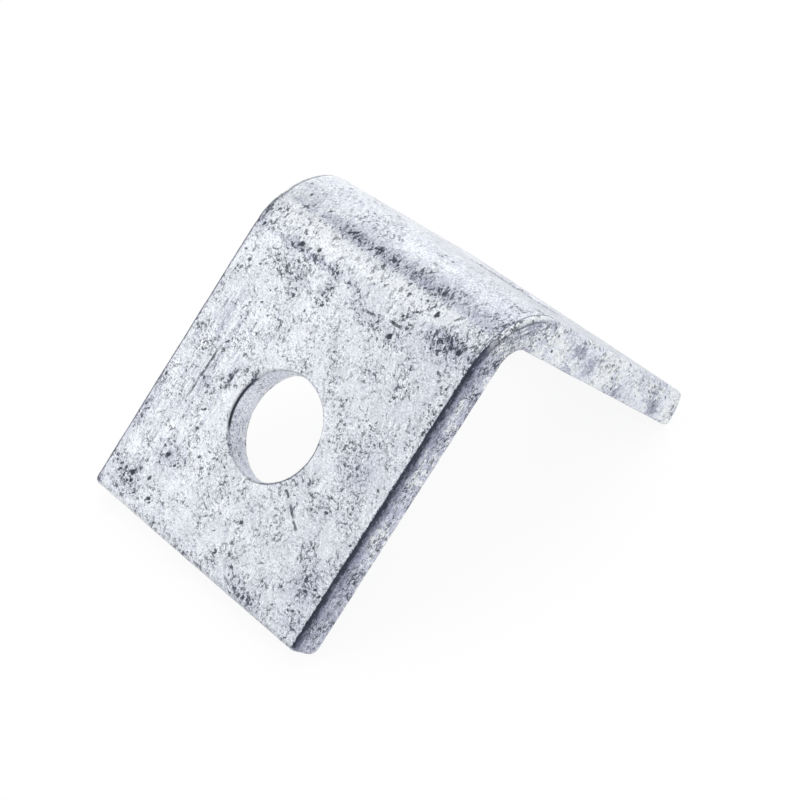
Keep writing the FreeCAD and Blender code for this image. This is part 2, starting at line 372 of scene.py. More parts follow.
# Bright (above 0) and dark places of the two long sides: along, depth, half sizes and strength.
SIDE_PATCHES = (
    (10.0, 3.0, 3.2, 2.4, 0.8), (24.0, 2.6, 2.6, 3.0, 1.0), (34.0, 1.8, 4.0, 1.6, 0.7),
    (43.0, 2.6, 2.0, 3.0, 0.6), (2.5, 1.5, 2.4, 1.6, -1.0), (15.4, 2.2, 2.0, 1.6, -0.9),
    (29.2, 4.2, 1.2, 1.4, -0.8), (39.4, 3.9, 2.0, 0.8, -1.0), (19.5, 3.5, 1.2, 2.0, -0.5),
    (-42.0, 2.4, 3.0, 1.2, -0.6), (-37.0, 3.2, 1.6, 1.4, -0.6), (-9.0, 3.2, 0.8, 1.0, -0.8),
    (-6.0, 2.4, 1.0, 0.8, -0.6), (-30.0, 2.6, 4.0, 1.2, 0.4), (-18.0, 3.4, 5.0, 1.2, 0.4),
)
# Scratches on the short leg's outer face: start across and along, direction in degrees and length.
SCRATCHES = (
    (6.5, -30.6, -37.0, 1.6), (8.1, -31.7, -38.0, 2.4), (9.8, -33.1, -36.0, 1.8), (9.8, -43.6, -40.0, 1.2),
    (1.5, -7.3, 2.0, 3.0), (6.0, -6.6, 1.0, 2.5), (-14.0, -30.0, 88.0, 9.0), (-9.6, -26.0, 86.0, 4.0),
)


def fractal(places, size, octaves):
    """Smooth noise, mostly from -1 to 1, whose largest features measure about the given size."""
    return np.array([noise.fractal(Vector(place) / size, 1.0, 2.0, octaves) for place in places])


def smooth(low, high, value):
    share = np.clip((value - low) / (high - low), 0.0, 1.0)
    return share * share * (3.0 - 2.0 * share)


def pits(strip):
    """How deep each point lies in a pit of the coat, from 0 to 1."""
    random = np.random.default_rng(SEED)
    places = [(across, along, 0.0, radius) for across, along, radius in SEEN_PITS]
    for _ in range(LOOSE_PITS):
        across = random.uniform(-0.5, 0.5) * STRIP_WIDTH
        along = random.uniform(SHORT_END_ALONG, LONG_END_ALONG)
        depth = random.choice((0.0, STRIP_THICKNESS, random.uniform(0, STRIP_THICKNESS)))
        if 0.0 < depth < STRIP_THICKNESS:
            across = math.copysign(STRIP_WIDTH / 2, across)
        places.append((across, along, depth, random.uniform(*LOOSE_PIT_RADII)))
    uneven = 1.2 + PIT_UNEVEN * fractal(strip, PIT_UNEVEN_SIZE, 2)
    hollow = np.zeros(len(strip))
    for *place, radius in places:
        distance = np.linalg.norm(strip - np.array(place), axis=1) * uneven
        hollow = np.maximum(hollow, 1.0 - smooth(0.2 * radius, radius, distance))
    return hollow


def soil_and_shade(strip):
    """How dark each point is from soil, and on the fold from painted shade, from 0 to about 1."""
    dark = np.zeros(len(strip))
    for across, along, half_across, half_along, amount in SOIL_AND_SHADE:
        away = ((strip[:, 0] - across) / half_across) ** 2 + ((strip[:, 1] - along) / half_along) ** 2
        dark += amount * np.exp(-away)
    return np.clip(dark * (1.0 - smooth(*SOIL_AND_SHADE_END, strip[:, 2])), 0.0, 1.0)


def side_patches(strip):
    """Bright and dark places of the long sides, from about -1 to 1."""
    sheen = np.zeros(len(strip))
    for along, depth, half_along, half_depth, amount in SIDE_PATCHES:
        away = ((strip[:, 1] - along) / half_along) ** 2 + ((strip[:, 2] - depth) / half_depth) ** 2
        sheen += amount * np.exp(-away)
    return sheen * smooth(STRIP_WIDTH / 2 - 1.0, STRIP_WIDTH / 2 - 0.3, np.abs(strip[:, 0]))


def from_hole(strip):
    """Distance of each point from the axis of the hole on its own leg."""
    nearest = np.where(strip[:, 1] < 0, *HOLES_ALONG)
    return np.hypot(strip[:, 0], strip[:, 1] - nearest)


def relief(strip, hollow):
    """Depth of the coat's swells, lumps, pits, press marks and worn corner below the plain strip."""
    swell = SWELL * (0.5 + 0.5 * np.clip(fractal(strip, SWELL_SIZE, 2), -1, 1))
    lump = LUMP * (0.5 + 0.5 * np.clip(fractal(strip, LUMP_SIZE, 3), -1, 1))
    outer = 1.0 - smooth(*PRESS_END, strip[:, 2])
    press = sum(
        depth * (1.0 - smooth(0.0, half, np.abs(strip[:, 1] - along))) for along, half, depth in PRESS_MARKS
    )
    away = np.hypot(strip[:, 1] - LONG_END_ALONG + LONG_END_SLANT, strip[:, 2]) / WORN_CORNER_SIZE
    worn = WORN_CORNER * np.exp(-(away**2))
    return swell + lump + PIT_DEPTH * hollow + press * outer + worn


def saddled(points, strip):
    """The fold's outer surface drops towards the strip's edges, as the metal was stretched there."""
    share = np.cos(np.clip(strip[:, 1] / SADDLE_REACH, -1, 1) * math.pi / 2) ** 2
    near_outer = 1.0 - smooth(0.0, STRIP_THICKNESS, strip[:, 2])
    fall = SADDLE_DROP * smooth(SADDLE_START, STRIP_WIDTH / 2, np.abs(points[:, 0]))
    amount = share * near_outer
    inward = np.array([BEND_OUTER_RADIUS, BEND_OUTER_RADIUS]) - points[:, 1:]
    inward /= np.maximum(np.linalg.norm(inward, axis=1), 0.1)[:, None]
    moved = points.copy()
    moved[:, 1:] += inward * (fall * amount)[:, None]
    moved[:, 0] *= 1.0 - SADDLE_PULL * amount
    return moved


def flat_map(strip, faces):
    """Places of each face's corners on a flat map of faces, sides, ends and hole walls."""
    corners = strip[faces]
    middle = corners.mean(1)
    facing = np.abs(np.cross(corners[:, 2] - corners[:, 0], corners[:, 3] - corners[:, 1])).argmax(1)
    on_long = middle[:, 1] > 0
    near, deep = middle[:, 0] > 0, middle[:, 2] > STRIP_THICKNESS / 2
    wall = (facing != 2) & (from_hole(middle) < BREAKOUT_RADIUS + HOLE_RIM_RADIUS)
    face, side, end = facing == 2, (facing == 0) & ~wall, (facing == 1) & ~wall
    across = corners[..., 0] + STRIP_WIDTH / 2
    along = corners[..., 1] - SHORT_END_ALONG
    depth = corners[..., 2]
    hole = np.where(on_long, HOLES_ALONG[1], HOLES_ALONG[0])
    turn = np.arctan2(middle[:, 1] - hole, middle[:, 0])[:, None]
    ahead = np.arctan2(corners[..., 1] - hole[:, None], corners[..., 0]) - turn
    turn = turn + math.pi + (ahead + math.pi) % (2 * math.pi) - math.pi
    second = on_long[:, None]
    charts = (
        (face & ~deep, STRIP_WIDTH, across, along),
        (face & deep, STRIP_WIDTH, across, along),
        (side & near, STRIP_THICKNESS, depth, along),
        (side & ~near, STRIP_THICKNESS, depth, along),
        (end, STRIP_THICKNESS, depth, across + second * (STRIP_WIDTH + MAP_GAP)),
        (wall, STRIP_THICKNESS, depth, turn * HOLE_RADIUS + second * (2 * math.pi * HOLE_RADIUS + MAP_GAP)),
    )
    places = np.empty((*faces.shape, 2))
    start = 0.0
    for chosen, width, u, v in charts:
        places[chosen] = np.stack([start + u[chosen], v[chosen]], -1)
        start += width + MAP_GAP
    low, high = places.min((0, 1)), places.max((0, 1))
    return MAP_RIM + (1.0 - 2.0 * MAP_RIM) * (places - low) / (high - low)


def vertex_normals(mesh):
    values = np.empty(len(mesh.vertices) * 3, np.float32)
    mesh.vertex_normals.foreach_get("vector", values)
    return values.reshape(-1, 3).astype(float)


def add_marks(mesh, strip, hollow):
    """Stores on the mesh what its colours depend on, point by point, and its flat map for baking."""
    strip_data = mesh.attributes.new("strip_mm", "FLOAT_VECTOR", "POINT")
    strip_data.data.foreach_set("vector", strip.astype(np.float32).ravel())
    marks = {
        "hollow": hollow,
        "soil_and_shade": soil_and_shade(strip),
        "side_patch": side_patches(strip),
        "from_hole_mm": from_hole(strip),
    }
    for name, values in marks.items():
        data = mesh.attributes.new(name, "FLOAT", "POINT")
        data.data.foreach_set("value", values.astype(np.float32))
    corner_vertices = np.empty(len(mesh.loops), np.int32)
    mesh.loops.foreach_get("vertex_index", corner_vertices)
    places = flat_map(strip, corner_vertices.reshape(-1, 4))
    flat = mesh.uv_layers.new(name="OFBake", do_init=False)
    flat.uv.foreach_set("vector", places.astype(np.float32).ravel())


def bracket_piece():
    """The bracket's mesh with its relief, standing in the row frame."""
    points, faces = bracket_surface()
    strip = unrolled(points)
    hollow = pits(strip)
    corner, along_long, along_short = row_axes()
    axes = np.array([Vector((1, 0, 0)), along_long, along_short])
    placed = np.array(corner) + saddled(points, strip) @ axes * MM
    mesh = bpy.data.meshes.new("bracket")
    mesh.from_pydata(placed.tolist(), [], faces.tolist())
    shape = bmesh.new()
    shape.from_mesh(mesh)
    bmesh.ops.recalc_face_normals(shape, faces=shape.faces)
    shape.to_mesh(mesh)
    shape.free()
    sunk = placed - vertex_normals(mesh) * (relief(strip, hollow) * MM)[:, None]
    mesh.vertices.foreach_set("co", sunk.astype(np.float32).ravel())
    mesh.update()
    mesh.shade_smooth()
    mesh.set_sharp_from_angle(angle=math.radians(SHARP_ANGLE))
    add_marks(mesh, strip, hollow)
    piece = bpy.data.objects.new("bracket", mesh)
    bpy.context.scene.collection.objects.link(piece)
    return piece


class Nodes:
    """Short names for the shader nodes that the materials use."""

    def __init__(self, tree):
        self.tree = tree

    def add(self, kind, inputs=None, **settings):
        node = self.tree.nodes.new(kind)
        for name, value in settings.items():
            setattr(node, name, value)
        for socket, value in (inputs or {}).items():
            self.set(node.inputs[socket], value)
        return node

    def set(self, socket, value):
        if isinstance(value, bpy.types.NodeSocket):
            self.tree.links.new(value, socket)
        else:
            socket.default_value = value

    def attribute(self, name, output):
        return self.add("ShaderNodeAttribute", attribute_name=name).outputs[output]

    def math(self, operation, first, second=0.0):
        return self.add("ShaderNodeMath", {0: first, 1: second}, operation=operation).outputs[0]

    def times(self, *values):
        """The product of several values."""
        product = values[0]
        for value in values[1:]:
            product = self.math("MULTIPLY", product, value)
        return product

    def weighted(self, *terms):
        """The sum of several values, each times its weight."""
        total = 0.0
        for value, weight in terms:
            inputs = {0: value, 1: weight, 2: total}
            total = self.add("ShaderNodeMath", inputs, operation="MULTIPLY_ADD").outputs[0]
        return total

    def scaled(self, vector, across, along, through):
        """Coordinates that change at another speed across, along and through the strip."""
        inputs = {0: vector, 1: (across, along, through)}
        return self.add("ShaderNodeVectorMath", inputs, operation="MULTIPLY").outputs[0]

    def stretched(self, vector, angle, times):
        """Coordinates in which a pattern comes out longer along a direction across and along the strip."""
        inputs = {"Vector": vector, "Rotation": (0.0, 0.0, math.radians(angle)), "Scale": (times, 1.0, 1.0)}
        return self.add("ShaderNodeMapping", inputs, vector_type="TEXTURE").outputs[0]

    def scratch(self, vector, across, along, angle, length, half):
        """1 on a straight scratch, fading at its ends."""
        inputs = {
            "Vector": vector, "Location": (across, along, 0.0), "Rotation": (0.0, 0.0, math.radians(angle)),
        }
        local = self.add("ShaderNodeMapping", inputs, vector_type="TEXTURE").outputs[0]
        apart = self.add("ShaderNodeSeparateXYZ", {0: local}).outputs
        ends = self.band(apart["X"], length / 2, length / 4, length / 4)
        on_line = self.band(apart["Y"], 0.0, half, half)
        on_face = self.band(apart["Z"], 0.0, 0.4, 0.3)
        return self.times(ends, on_line, on_face)

    def noise(self, vector, size, detail, rough, warp):
        """Noise around 0.5 whose largest features measure about the given size."""
        inputs = {
            "Vector": vector, "Scale": 1.0 / size, "Detail": detail, "Roughness": rough, "Distortion": warp,
        }
        return self.add("ShaderNodeTexNoise", inputs).outputs["Fac"]

    def warped(self, vector, size, amount):
        """Coordinates pushed about by noise, so that what is drawn in them gets ragged outlines."""
        inputs = {"Vector": vector, "Scale": 1.0 / size, "Detail": 2.0}
        push = self.add("ShaderNodeTexNoise", inputs).outputs["Color"]
        inputs = {0: push, 1: (amount,) * 3, 2: (-amount / 2,) * 3}
        push = self.add("ShaderNodeVectorMath", inputs, operation="MULTIPLY_ADD").outputs[0]
        return self.add("ShaderNodeVectorMath", {0: vector, 1: push}, operation="ADD").outputs[0]

    def spots(self, vector, spacing, amount):
        """Spots, at most one to a cell: more of them and larger ones where the amount is higher."""
        cells = self.add("ShaderNodeTexVoronoi", {"Vector": vector, "Scale": 1.0 / spacing}).outputs
        chance = self.add("ShaderNodeSeparateColor", {0: cells["Color"]}).outputs[0]
        inside = self.math("SUBTRACT", self.math("ADD", chance, amount), cells["Distance"])
        return self.ramp(inside, 0.0, 0.1)

    def cell_tone(self, vector, spacing):
        """A value from 0 to 1 that is even within a cell and differs from cell to cell."""
        cells = self.add("ShaderNodeTexVoronoi", {"Vector": vector, "Scale": 1.0 / spacing}).outputs
        return self.add("ShaderNodeSeparateColor", {0: cells["Color"]}).outputs[0]

    def borders(self, vector, spacing, half):
        """Lines along the borders of cells."""
        inputs = {"Vector": vector, "Scale": 1.0 / spacing}
        away = self.add("ShaderNodeTexVoronoi", inputs, feature="DISTANCE_TO_EDGE").outputs["Distance"]
        return self.ramp(away, 0.4 * half / spacing, half / spacing, 1.0, 0.0)

    def ramp(self, value, low, high, start=0.0, end=1.0):
        """A smooth step from start to end while the value goes from low to high."""
        inputs = {"Value": value, "From Min": low, "From Max": high, "To Min": start, "To Max": end}
        return self.add("ShaderNodeMapRange", inputs, interpolation_type="SMOOTHSTEP").outputs["Result"]

    def band(self, value, place, half, soft):
        """1 within half of the place, falling to 0 over the soft distance."""
        away = self.math("ABSOLUTE", self.math("SUBTRACT", value, place))
        return self.ramp(away, half, half + soft, 1.0, 0.0)

    def mix(self, share, first, second):
        node = self.add("ShaderNodeMix", data_type="RGBA")
        self.set(node.inputs["Factor"], share)
        for socket, colour in ((node.inputs[6], first), (node.inputs[7], second)):
            self.set(socket, colour if isinstance(colour, bpy.types.NodeSocket) else (*colour, 1.0))
        return node.outputs[2]


ZINC_WHITE = (0.90, 0.925, 0.935)
ZINC_PALE = (0.715, 0.742, 0.785)
ZINC_SKY = (0.84, 0.87, 0.98)
ZINC_LILAC = (0.55, 0.57, 0.76)
ZINC_GREY = (0.43, 0.452, 0.518)
ZINC_SLATE = (0.33, 0.345, 0.47)
ZINC_BLUE = (0.12, 0.13, 0.20)
ZINC_DARK = (0.03, 0.035, 0.055)
ZINC_METALLIC = 0.7
ZINC_ROUGH = 0.6
ZINC_SMOOTH = 0.46
BRIGHT_SIDE_SMOOTHER = 0.15
BUMP_STRENGTH = 0.7
BUMP_DEPTH = 0.12
FLECK_ANGLE = -52.0
SCRATCH_HALF = 0.13
# Noises of the coat: size of the largest features in millimetres, detail, roughness and distortion.
ZINC_NOISES = {
    "cloud": (6.0, 4.0, 0.6, 0.4),
    "cluster": (3.4, 5.0, 0.7, 0.4),
    "mottle": (2.4, 5.0, 0.65, 0.5),
    "swirl": (1.5, 4.0, 0.6, 1.6),
    "worm": (0.8, 3.0, 0.6, 1.0),
    "coarse": (0.6, 4.0, 0.75, 0.8),
    "broken": (0.55, 2.0, 0.6, 0.0),
    "streak": (0.5, 3.0, 0.6, 0.0),
    "ring": (0.5, 3.0, 0.7, 0.0),
    "smear": (0.42, 3.0, 0.6, 0.0),
    "fleck": (0.36, 3.0, 0.7, 0.8),
    "dash": (0.3, 3.0, 0.65, 0.4),
    "drawn": (0.25, 3.0, 0.6, 0.3),
    "grain": (0.24, 2.0, 0.6, 0.5),
}
# Noises drawn out along the strip or round the holes: how fast they change across, along and in depth.
LONG_NOISES = {
    "streak": (1.0, 0.1, 1.0),
    "dash": (1.0, 0.35, 1.0),
    "drawn": (1.0, 0.05, 1.0),
    "ring": (0.3, 0.3, 1.0),
}
# Stretches of the strip that have their own marks, painted highlight and painted shade: middle, half width
# and soft border, in millimetres.
FOLD_ALONG = (0.5, 0.6 * BEND_HALF, 0.5 * BEND_HALF)
HIGHLIGHT_ALONG = (-3.4, 0.7, 0.8)
GREY_TOP_ALONG = (1.0, 2.0, 2.0)
DRAWN_ALONG = (-25.0, 8.0, 8.0)
DRAWN_ACROSS = (-13.5, 3.5, 3.5)
LIP = (-0.1, 0.25, 0.25)
LIP_LINES = ((-0.75, 0.06, 0.12), (0.7, 0.06, 0.12))
WALL_DEPTH = (0.5 * STRIP_THICKNESS, 2.2, 0.35)
RIM_SHADOW_DEPTH = (0.42, 0.12, 0.3)
RIM_SHADOW_ALONG = (HOLES_ALONG[0] - 0.5, 2.5, 1.8)
RIM_EDGE_FROM_AXIS = (HOLE_RADIUS + 0.28, 0.06, 0.1)


def strip_places(nodes):
    """Where a point lies on the strip, in millimetres, and which parts it is on, each from 0 to 1."""
    place = SimpleNamespace()
    place.strip = nodes.attribute("strip_mm", "Vector")
    place.ragged = nodes.warped(place.strip, 0.4, 0.8)
    place.from_axis = nodes.attribute("from_hole_mm", "Fac")
    apart = nodes.add("ShaderNodeSeparateXYZ", {0: place.strip}).outputs
    place.across, place.along, place.depth = apart["X"], apart["Y"], apart["Z"]
    aside = nodes.math("ABSOLUTE", place.across)
    place.past_edge = nodes.math("SUBTRACT", nodes.math("ADD", place.depth, aside), STRIP_WIDTH / 2)
    place.outer = nodes.ramp(place.depth, 0.5, 1.2, 1.0, 0.0)
    place.outer_half = nodes.ramp(place.depth, 2.2, 3.0, 1.0, 0.0)
    place.on_short = nodes.ramp(place.along, -0.8 * BEND_HALF, -0.2 * BEND_HALF, 1.0, 0.0)
    place.on_fold = nodes.band(place.along, *FOLD_ALONG)
    place.on_side = nodes.ramp(aside, STRIP_WIDTH / 2 - 0.8, STRIP_WIDTH / 2 - 0.3)
    place.long_side = nodes.times(place.on_side, nodes.ramp(place.along, 0.0, BEND_HALF))
    place.short_side = nodes.math("SUBTRACT", place.on_side, place.long_side)
    place.side_fold = nodes.times(place.on_side, place.on_fold, nodes.ramp(place.past_edge, 0.6, 1.2))
    near_axis = nodes.ramp(place.from_axis, HOLE_RADIUS + 0.4, HOLE_RADIUS + 0.8, 1.0, 0.0)
    place.in_hole = nodes.times(near_axis, nodes.band(place.depth, *WALL_DEPTH))
    return place


def zinc_noises(nodes, strip):
    """The coat's noises by name, each mostly from 0 to 1."""
    places = {name: nodes.scaled(strip, *speeds) for name, speeds in LONG_NOISES.items()}
    places["fleck"] = nodes.stretched(strip, FLECK_ANGLE, 1.7)
    places["smear"] = nodes.stretched(nodes.warped(strip, 2.0, 0.8), FLECK_ANGLE, 5.0)
    tones = {name: nodes.noise(places.get(name, strip), *form) for name, form in ZINC_NOISES.items()}
    return SimpleNamespace(**tones)


def dark_marks(nodes, place, tone, soiled_and_shaded):
    """Fine marks, leaning flecks and strokes, spots and crust, more of them where the coat is soiled and
    where the fold's shade is painted.
    """
    fewer = nodes.times(nodes.ramp(place.along, -1.2, 1.0), nodes.ramp(place.along, 5.0, 13.0, 1.0, 0.3))
    crowd = nodes.weighted(
        (nodes.math("SUBTRACT", tone.cluster, 0.49), 0.75),
        (soiled_and_shaded, 0.12),
        (nodes.math("ADD", place.in_hole, fewer), -0.035),
        (place.short_side, 0.06),
        (place.side_fold, 0.05),
    )
    leaning = nodes.stretched(nodes.warped(place.strip, 0.9, 0.6), FLECK_ANGLE, 2.0)
    thin = nodes.math("ABSOLUTE", nodes.math("SUBTRACT", tone.worm, 0.5))
    thin = nodes.ramp(thin, 0.012, 0.05, 1.0, 0.0)
    stroke = nodes.math("MAXIMUM", thin, nodes.borders(leaning, 0.9, 0.12))
    stroke = nodes.times(stroke, nodes.ramp(tone.broken, 0.50, 0.57), nodes.ramp(crowd, -0.12, 0.1))
    blotch = nodes.ramp(nodes.math("ADD", tone.fleck, crowd), 0.66, 0.71)
    swirled = nodes.math("ADD", crowd, nodes.math("SUBTRACT", tone.swirl, 0.5))
    faded = nodes.ramp(swirled, -0.2, 0.2, 0.3, 1.0)
    return SimpleNamespace(
        fine=nodes.ramp(nodes.weighted((tone.grain, 1.0), (crowd, 0.4)), 0.59, 0.67),
        dark=nodes.times(nodes.math("MAXIMUM", blotch, stroke), faded),
        spot=nodes.spots(place.ragged, 0.9, nodes.math("SUBTRACT", crowd, 0.68)),
        crust=nodes.ramp(nodes.weighted((tone.coarse, 1.0), (soiled_and_shaded, 0.18)), 0.66, 0.72),
    )


def side_sheen(nodes, place, tone):
    """Bright and dark places of the long sides."""
    patch = nodes.weighted(
        (nodes.attribute("side_patch", "Fac"), 1.0),
        (nodes.math("SUBTRACT", tone.swirl, 0.5), 2.5),
        (nodes.math("SUBTRACT", nodes.cell_tone(place.ragged, 2.2), 0.5), 1.0),
    )
    bright = nodes.times(nodes.ramp(patch, 0.25, 0.5), place.on_side)
    dark = nodes.times(nodes.ramp(patch, -0.2, -0.6), place.on_side)
    return bright, dark


def fold_marks_and_shading(nodes, place, tone):
    """The fold's painted highlight, the painted shade in its crease, its greyer mottled top, and the pale
    lip and thin lines along its edges.
    """
    # painted shade in the fold's crease, broken up by the mottle
    crease_shade = nodes.times(
        nodes.ramp(place.along, -2.7, -2.1),
        nodes.ramp(place.along, -1.6, 1.4, 1.0, 0.0),
        nodes.ramp(tone.mottle, 0.36, 0.56),
        place.outer,
    )
    # the mottle that breaks up the greyer top
    worn = nodes.ramp(tone.mottle, 0.36, 0.6)
    on_lip = nodes.times(place.on_fold, place.outer_half)
    lines = [nodes.band(place.past_edge, *line) for line in LIP_LINES]
    return SimpleNamespace(
        fold_highlight=nodes.times(nodes.band(place.along, *HIGHLIGHT_ALONG), place.outer),
        crease_shade=crease_shade,
        grey_top=nodes.times(nodes.band(place.along, *GREY_TOP_ALONG), place.outer, worn),
        lip=nodes.times(nodes.band(place.past_edge, *LIP), on_lip),
        lip_line=nodes.times(nodes.math("MAXIMUM", *lines), on_lip),
    )


def edge_burr_and_shade(nodes, place, tone):
    """The painted shade band and dark line along the short leg's sheared edges: partly the edges' own dark
    burr, partly painted shadow and dark reflection of the rounded edge; fainter on the far side.
    """
    uneven = nodes.weighted((tone.mottle, 2.0), (tone.streak, 2.0), (tone.dash, 4.0), (tone.grain, 2.0))
    fade = nodes.math("SUBTRACT", nodes.math("ADD", place.past_edge, uneven), 5.0)
    border = nodes.weighted((place.past_edge, 1.0), (nodes.math("SUBTRACT", tone.fleck, 0.5), 0.7))
    band = nodes.times(
        nodes.ramp(border, -0.62, -0.45),
        place.on_short,
        place.outer_half,
        nodes.ramp(place.along, SHORT_END_ALONG + 0.1, SHORT_END_ALONG + 0.7),
        nodes.ramp(place.across, -1.0, 1.0, 0.4, 1.0),
    )
    shade = nodes.times(band, nodes.ramp(fade, 0.4, 2.0, 1.0, 0.0))
    line = nodes.times(band, nodes.ramp(fade, 0.0, 0.5, 1.0, 0.0))
    return shade, line


def rim_shading(nodes, place, tone):
    """Painted shadow: the dark line in the short leg's hole, faint round the other rims, and a thin painted
    shade line on the rim across from it.
    """
    far = nodes.times(
        nodes.ramp(place.across, -5.0, -2.0, 1.0, 0.0),
        place.on_short,
        nodes.band(place.along, *RIM_SHADOW_ALONG),
    )
    line = nodes.times(
        nodes.ramp(place.from_axis, HOLE_RADIUS + 0.2, HOLE_RADIUS + 0.4, 1.0, 0.0),
        nodes.band(place.depth, *RIM_SHADOW_DEPTH),
        nodes.math("ADD", far, 0.25),
    )
    edge = nodes.times(
        nodes.ramp(place.across, 0.5, 3.0),
        place.on_short,
        nodes.ramp(place.along, HOLES_ALONG[0] + 1.0, HOLES_ALONG[0] + 3.0, 1.0, 0.0),
        nodes.band(place.from_axis, *RIM_EDGE_FROM_AXIS),
        place.outer,
        nodes.ramp(tone.swirl, 0.3, 0.5, 0.3, 1.0),
    )
    return line, edge


def scratches(nodes, place, tone):
    """Scratches of the outer face, broken in places."""
    bent = nodes.warped(place.strip, 1.0, 0.35)
    scratched = 0.0
    for start in SCRATCHES:
        scratched = nodes.math("MAXIMUM", scratched, nodes.scratch(bent, *start, SCRATCH_HALF))
    return nodes.times(scratched, nodes.ramp(tone.swirl, 0.32, 0.5))


